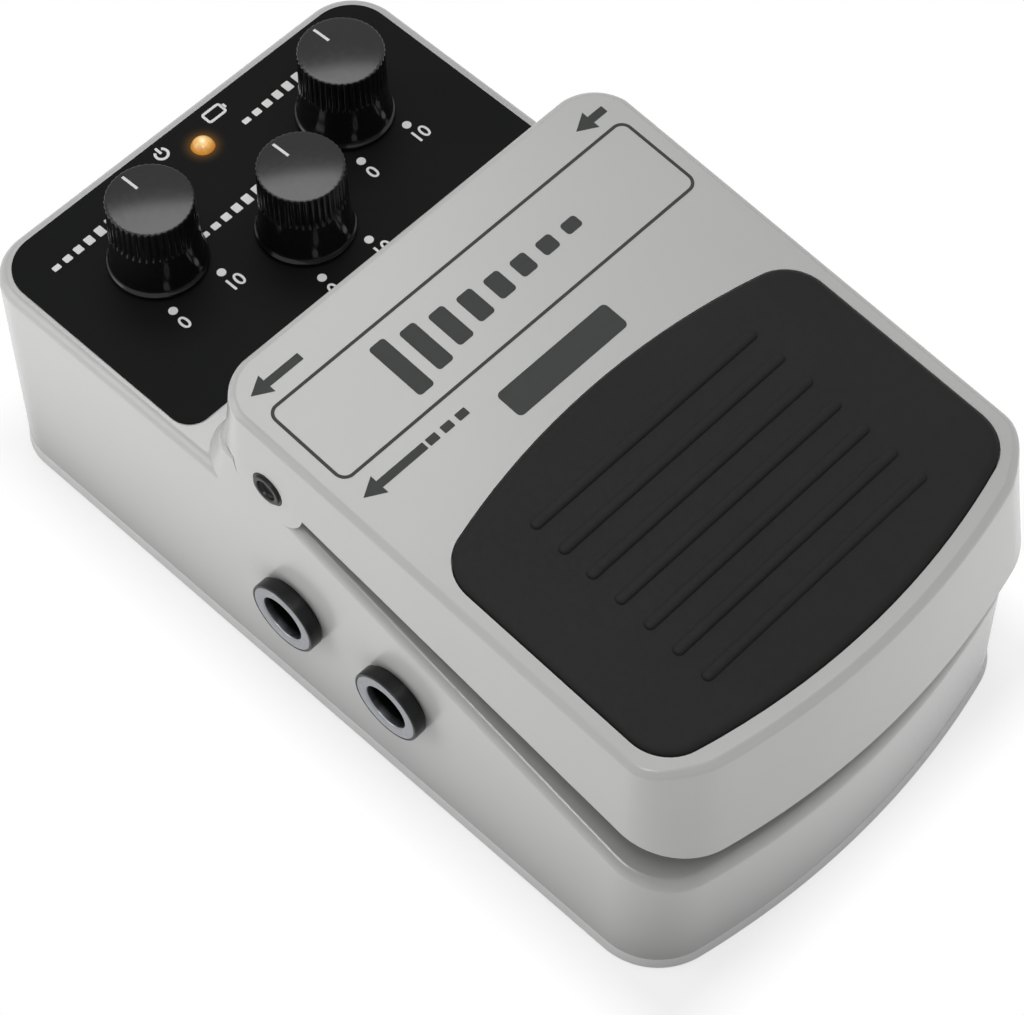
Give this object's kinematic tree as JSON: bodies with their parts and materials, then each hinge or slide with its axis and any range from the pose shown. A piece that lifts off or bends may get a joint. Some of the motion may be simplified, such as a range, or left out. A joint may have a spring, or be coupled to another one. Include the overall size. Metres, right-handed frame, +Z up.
{
  "type": "delay pedal",
  "caption": "Compact effects pedal with a hinged spring-loaded treadle over a footswitch, turning controls, a lamp, plug sockets on its sides and a battery bay.",
  "frame": {"origin": "on the floor under the middle of the bounding box", "axes": "+X to the right of the player, +Y towards the knob end, +Z up"},
  "size_m": [0.0706, 0.123, 0.0533],
  "materials": {
    "case_plastic": "satin light grey moulding",
    "base_paint": "satin light grey paint on steel",
    "bare_steel": "bright zinc",
    "pad_rubber": "matt black rubber",
    "label_black": "semi-matt black film",
    "knob_black": "satin black",
    "pointer_white": "white",
    "pot_metal": "plain",
    "lamp_amber": "clear amber",
    "board_green": "green solder mask",
    "black_moulding": "matt black",
    "collar_black": "semi-gloss black",
    "socket_chrome": "bright plated",
    "contact_brass": "plain",
    "capacitor_sleeve": "shrink sleeve",
    "battery_can": "dark printed can",
    "lead_sleeve": "red sleeve"
  },
  "bodies": {
    "case": {"housing": "case_plastic", "base_plate": "base_paint", "base_screws": "bare_steel", "rubber_feet": "pad_rubber", "panel_overlay": "label_black", "pot_body_left": "pot_metal", "pot_body_centre": "pot_metal", "pot_body_right": "pot_metal", "power_lamp": "lamp_amber", "panel_board": "board_green", "panel_board_screws": "bare_steel", "main_board": "board_green", "main_board_screws": "bare_steel", "board_header": "black_moulding", "delay_chips": "black_moulding", "capacitors": "capacitor_sleeve", "pin_spring_left": "bare_steel", "pin_spring_right": "bare_steel", "pin_retainer_left": "black_moulding", "pin_retainer_right": "black_moulding", "footswitch_body": "black_moulding", "footswitch_nut": "bare_steel", "treadle_spring_left": "bare_steel", "treadle_spring_right": "bare_steel", "output_jack_body": "black_moulding", "output_jack_bushing": "socket_chrome", "output_jack_collar": "collar_black", "output_jack_contacts": "contact_brass", "direct_jack_body": "black_moulding", "direct_jack_bushing": "socket_chrome", "direct_jack_collar": "collar_black", "direct_jack_contacts": "contact_brass", "input_jack_body": "black_moulding", "input_jack_bushing": "socket_chrome", "input_jack_collar": "collar_black", "input_jack_contacts": "contact_brass", "power_inlet_body": "black_moulding", "power_inlet_pin": "bare_steel", "battery": "battery_can", "battery_snap": "black_moulding", "battery_leads": "lead_sleeve"},
    "treadle": {"treadle": "case_plastic", "treadle_pad": "pad_rubber"},
    "plunger": {"footswitch_plunger": "pointer_white"},
    "pin_left": {"hinge_pin_left": "black_moulding"},
    "pin_right": {"hinge_pin_right": "black_moulding"},
    "dial_left": {"knob_left": "knob_black", "pointer_left": "pointer_white", "pot_shaft_left": "bare_steel"},
    "dial_centre": {"knob_centre": "knob_black", "pointer_centre": "pointer_white", "pot_shaft_centre": "bare_steel"},
    "dial_right": {"knob_right": "knob_black", "pointer_right": "pointer_white", "pot_shaft_right": "bare_steel"}
  },
  "joints": [
    {"name": "treadle_hinge", "type": "hinge", "parent": "case", "child": "treadle", "pos_m": [0, 0.00755, 0.04265], "axis": [1, 0, 0], "range_deg": [0, 3], "stiffness_Nm_per_rad": 2, "springref_deg": -8.59, "deforming": ["treadle_spring_left", "treadle_spring_right"]},
    {"name": "plunger_slide", "type": "slide", "parent": "case", "child": "plunger", "axis": [0, 0, -1], "range_m": [0, 0.0012]},
    {"name": "dial_left_turn", "type": "hinge", "parent": "case", "child": "dial_left", "pos_m": [-0.0163, 0.0454, 0.036], "axis": [0, 0, 1], "range_deg": [-150, 150]},
    {"name": "dial_centre_turn", "type": "hinge", "parent": "case", "child": "dial_centre", "pos_m": [0, 0.0358, 0.036], "axis": [0, 0, 1], "range_deg": [-150, 150]},
    {"name": "dial_right_turn", "type": "hinge", "parent": "case", "child": "dial_right", "pos_m": [0.0163, 0.0454, 0.036], "axis": [0, 0, 1], "range_deg": [-150, 150]},
    {"name": "pin_left_slide", "type": "slide", "parent": "case", "child": "pin_left", "axis": [1, 0, 0], "range_m": [0, 0.0032], "stiffness_N_per_m": 600, "springref_m": -0.002, "deforming": ["pin_spring_left"]},
    {"name": "pin_right_slide", "type": "slide", "parent": "case", "child": "pin_right", "axis": [-1, 0, 0], "range_m": [0, 0.0032], "stiffness_N_per_m": 600, "springref_m": -0.002, "deforming": ["pin_spring_right"]}
  ],
  "couplings": [
    {"joint": "plunger_slide", "follows": "treadle_hinge", "m_per_rad": 0.02255}
  ]
}
